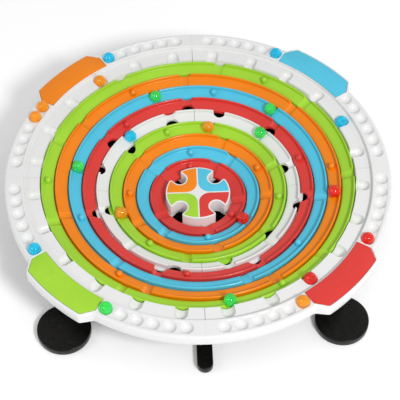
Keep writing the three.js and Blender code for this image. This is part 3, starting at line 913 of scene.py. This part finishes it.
def trayOutline(low, high):
    shell, clear, post = tray["shell"], tray["clear"], tray["post"]
    floor = low + shell
    wall = trackOuter - tray["inset"]
    rise = slope * (wall - hubEdge)
    top = track - bowl["grooveRadius"] - shell - clear
    postTop = high if high < hub["top"] else hub["top"] - hub["inlay"] - shell - clear
    outline = [(0.0, low), (hubEdge, low), (wall - 0.002, low + rise - 0.0006)]
    outline += [(wall - 0.0004, low + rise + 0.0006), (wall, low + rise + 0.002), (wall, top - 0.0005)]
    outline += [(wall - 0.0005, top), (wall - shell + 0.0005, top), (wall - shell, top - 0.0005)]
    outline += [(wall - shell, floor + rise + 0.001), (wall - shell - 0.001, floor + rise)]
    outline += [(hubEdge, floor), (post + 0.001, floor), (post, floor + 0.001)]
    return outline + [(post, postTop - 0.0005), (post - 0.0005, postTop), (0.0, postTop)]


def addPosts(piece, out, radius, base, tip, turns):
    spots = [(out, 90 * quarter + turn, (base + tip) / 2) for quarter in range(4) for turn in turns]
    applySeats(piece, postTree, spots, radius, tip - base, finishes["black"])
    settle(piece)


def makeTray():
    low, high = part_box("catch_tray")
    shell = tray["shell"]
    floor = low.z + shell
    piece = sweepPlain("catch_tray_moulding", trayOutline(low.z, high.z), finishes["black"], 240)
    settle(piece)
    clearFrom = ringEdge(midRing["index"] + 1) + flange + tray["clear"]
    clearTo = ringEdge(midRing["index"]) - bowl["wall"] - tray["clear"]
    middle = (clearFrom + clearTo) / 2
    base = floor + slope * (middle - hubEdge) - shell / 2
    tip = floorAt(clearFrom) - bowl["floorThickness"] - tray["clear"]
    addPosts(piece, middle, (clearTo - clearFrom) / 2, base, tip, (30, 60))
    base = floor + slope * (columnOut - columnRadius - hubEdge) - shell - tray["boss"]
    tip = floor + slope * (columnOut - hubEdge) - shell / 2
    addPosts(piece, columnOut, columnRadius, base, tip, (45,))
    finishPiece(piece, "root", finishes["black"], "catch_tray")


makeTray()

stand = {
    "low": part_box("stand_base")[0].z, "high": columnBox[0].z - tray["clear"],
    "reach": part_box("stand_base")[1].y, "bar": 0.0174, "foot": 0.030, "edge": 0.0032,
    "hole": 0.0019, "sink": 0.0038, "sinkDepth": 0.0021, "past": 0.01,
}


def barOutline(length, width):
    half = width / 2
    return [(0, -half)] + arcPoints(length - half, 0, half, -90, 90, 24) + [(0, half)]


def makeStand():
    low, high, past = stand["low"], stand["high"], stand["past"]
    piece = disc("stand_base_moulding", hubEdge + stand["bar"], low, high, 128)
    for quarter in range(4):
        turn = 90 * quarter
        long = turned(barOutline(stand["reach"], stand["bar"]), turn)
        combine(piece, "UNION", prism("bar", long, low, high))
        short = turned(barOutline(rubberOut, stand["bar"]), turn + 45)
        combine(piece, "UNION", prism("bar", short, low, high))
        x, y = turned([(rubberOut, 0)], turn + 45)[0]
        combine(piece, "UNION", disc("foot", stand["foot"], low, high, 96, x, y))
    roundEdges(piece, stand["edge"], 50, 4)
    settle(piece)
    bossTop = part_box("catch_tray")[0].z - tray["clear"]
    combine(piece, "UNION", disc("boss", hubEdge, low + 0.001, bossTop, 96))
    for quarter in range(4):
        x, y = turned([(columnOut, 0)], 90 * quarter + 45)[0]
        combine(piece, "DIFFERENCE", disc("hole", stand["hole"], low - past, high + past, 24, x, y))
        sink = disc("sink", stand["sink"], low - past, low + stand["sinkDepth"], 32, x, y)
        combine(piece, "DIFFERENCE", sink)
    settle(piece)
    finishPiece(piece, "root", finishes["black"], "stand_base")


makeStand()


def setDown(piece, out, turn):
    # moves a piece made on the Z axis to its corner of the stand
    x, y = turned([(out, 0)], turn + 45)[0]
    piece.data.transform(Matrix.Translation((x, y, 0)))


column = {"bore": stand["hole"], "waist": 0.0012, "edge": 0.0004, "ring": 0.0028, "spare": 0.002}


def makeColumn(name, turn):
    # plain barrel with a small foot ring and top collar
    low, high = columnBox[0].z, columnBox[1].z
    radius, bore, edge, ring = columnRadius, column["bore"], column["edge"], column["ring"]
    waist = radius - column["waist"]
    boreTop = screwBox[1].z + column["spare"]
    outline = [(bore, low), (radius - edge, low), (radius, low + edge), (radius, low + ring)]
    outline += [(radius - edge, low + 0.0034), (waist, low + 0.0042), (waist, high - 0.0042)]
    outline += [(radius - edge, high - 0.0034), (radius, high - ring), (radius, high - edge)]
    outline += [(radius - edge, high), (0.0, high), (0.0, boreTop), (bore, boreTop)]
    piece = sweepPlain("column_" + name + "_barrel", outline, finishes["black"], 72)
    settle(piece)
    setDown(piece, columnOut, turn)
    finishPiece(piece, "root", finishes["black"], "column_" + name)


screw = {
    "head": 0.0032, "headRise": 0.0018, "core": 0.0014, "threads": 14, "threadDepth": 0.0002,
    "threadStart": 0.0022, "threadCut": 0.0034, "slotHalf": 0.0018, "slotWidth": 0.0003,
    "slotDepth": 0.0009,
}


def makeScrew(name, turn):
    low, high = screwBox[0].z, screwBox[1].z
    head, core, rise = screw["head"], screw["core"], screw["headRise"]
    outline = [(0.0, low), (head * 0.7, low + 0.0001), (head * 0.94, low + 0.0006), (head, low + 0.0012)]
    outline += [(head, low + rise), (core, low + rise)]
    threadLength = high - low - screw["threadCut"]
    for step in range(screw["threads"]):
        z = low + screw["threadStart"] + threadLength * step / screw["threads"]
        outline += [(core, z), (core + screw["threadDepth"], z + 0.00028)]
    outline += [(core, high - 0.0008), (0.0, high)]
    piece = sweepPlain("column_screw_" + name + "_fine", outline, finishes["steel"], 40)
    settle(piece)
    x, y = screw["slotHalf"], screw["slotWidth"]
    for spin in (0, 90):
        slot = turned([(-x, -y), (x, -y), (x, y), (-x, y)], spin)
        combine(piece, "DIFFERENCE", prism("slot", slot, low - 0.001, low + screw["slotDepth"]))
    settle(piece)
    setDown(piece, columnOut, turn)
    finishPiece(piece, "root", finishes["steel"], "column_screw_" + name)


rubber = {"groove": 0.0002, "edge": 0.0004, "steps": [0.0018, 0.0034, 0.0044, 0.0062, 0.0076]}


def makeRubber(name, turn):
    # a foot with three shallow round grooves under it
    low, high = padBox[0].z, padBox[1].z
    radius, groove, slant = rubberRadius, low + rubber["groove"], 0.0003
    steps = rubber["steps"]
    outline = [(0.0, groove)]
    for place, step in enumerate(steps):
        down = place % 2 == 0
        outline += [(step, groove if down else low), (step + slant, low if down else groove)]
    outline += [(radius - 0.0006, low), (radius - slant, low + 0.0001), (radius, low + rubber["edge"])]
    outline += [(radius, high), (0.0, high)]
    piece = sweepPlain("rubber_pad_" + name + "_foot", outline, finishes["rubber"], 64)
    settle(piece)
    setDown(piece, rubberOut, turn)
    finishPiece(piece, "root", finishes["rubber"], "rubber_pad_" + name)


for quarterName, quarterTurn, _ in quarters:
    makeColumn(quarterName, quarterTurn)
    makeScrew(quarterName, quarterTurn)
    makeRubber(quarterName, quarterTurn)
print("stage: stand made")


def ballTree():
    make, given = startTree("looseBall", {"Seat": "Geometry", "Radius": "Float"})
    ball = make.val("GeometryNodeMeshUVSphere", None, {
        "Segments": 56, "Rings": 28, "Radius": given["Radius"]})
    placed = make.val("GeometryNodeInstanceOnPoints", None, {0: given["Seat"], "Instance": ball})
    return endTree(make, given, placed)


looseBall = ballTree()
for node in sorted(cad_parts):
    if node.startswith("ball_"):
        low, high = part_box(node)
        colour = node.split("_")[1]
        ball = meshObject(node + "_fine", [(low + high) / 2])
        applyTree(ball, looseBall, {"Radius": (high.x - low.x) / 2, "Finish": ballFinishes[colour]})
        settle(ball, 180)
        finishPiece(ball, node, ballFinishes[colour], node)
print("stage: balls made")


floorLook = {
    "size": 3.0, "deep": (0.95, 0.95, 0.95, 1), "pale": (0.97, 0.97, 0.97, 1), "rough": 0.9, "glow": 0.12,
}


def makeFloor(look):
    size = look["size"]
    corners = [(-size, -size, 0), (size, -size, 0), (size, size, 0), (-size, size, 0)]
    floor = meshObject("floor", corners, [(0, 1, 2, 3)])
    material, make, place = startMaterial("paleFloor")
    tone = make.blend(make.noise(place, 3.0, 2.0), look["deep"], look["pale"])
    shader = make.node("ShaderNodeBsdfPrincipled", None, {
        "Base Color": tone, "Roughness": look["rough"],
        "Emission Color": (1, 1, 1, 1), "Emission Strength": look["glow"]})
    make.node("ShaderNodeOutputMaterial", None, {"Surface": shader.outputs[0]})
    floor.data.materials.append(material)


lights = {
    "key": {"place": (0.75, -1.35, 1.65), "size": 0.45, "power": 29},
    "fill": {"place": (-1.5, -0.5, 1.1), "size": 0.9, "power": 4},
    "back": {"place": (1.4, 1.2, 1.0), "size": 0.8, "power": 3},
}
lightAim = Vector((0, 0, 0.06))
worldStrength = 0.53


def areaLight(name, values):
    data = bpy.data.lights.new(name, "AREA")
    data.shape = "DISK"
    data.size = values["size"]
    data.energy = values["power"]
    light = bpy.data.objects.new(name, data)
    bpy.context.scene.collection.objects.link(light)
    light.location = values["place"]
    light.rotation_euler = (lightAim - Vector(values["place"])).to_track_quat("-Z", "Y").to_euler()


def makeWorld(strength):
    world = bpy.data.worlds.new("studio")
    world.use_nodes = True
    background = world.node_tree.nodes["Background"]
    background.inputs[0].default_value = (1, 1, 1, 1)
    background.inputs[1].default_value = strength
    bpy.context.scene.world = world


cameraView = {"lift": 51.3, "turn": 267.8, "distance": 1.346, "lens": 106.3, "shift": (0.005, -0.0675)}


def makeCamera(view):
    centre = Vector((0, 0, track))
    lift, turn = rad(view["lift"]), rad(view["turn"])
    towards = Vector((math.cos(lift) * math.cos(turn), math.cos(lift) * math.sin(turn), math.sin(lift)))
    data = bpy.data.cameras.new("camera")
    data.lens = view["lens"]
    data.sensor_width = 36
    data.shift_x, data.shift_y = view["shift"]
    data.dof.use_dof = False
    camera = bpy.data.objects.new("camera", data)
    bpy.context.scene.collection.objects.link(camera)
    camera.location = centre + towards * view["distance"]
    camera.rotation_euler = (-towards).to_track_quat("-Z", "Y").to_euler()
    bpy.context.scene.camera = camera


makeFloor(floorLook)
for lightName, lightValues in lights.items():
    areaLight(lightName, lightValues)
makeWorld(worldStrength)
bpy.context.scene.view_settings.view_transform = "Standard"
makeCamera(cameraView)
print("stage: studio made")
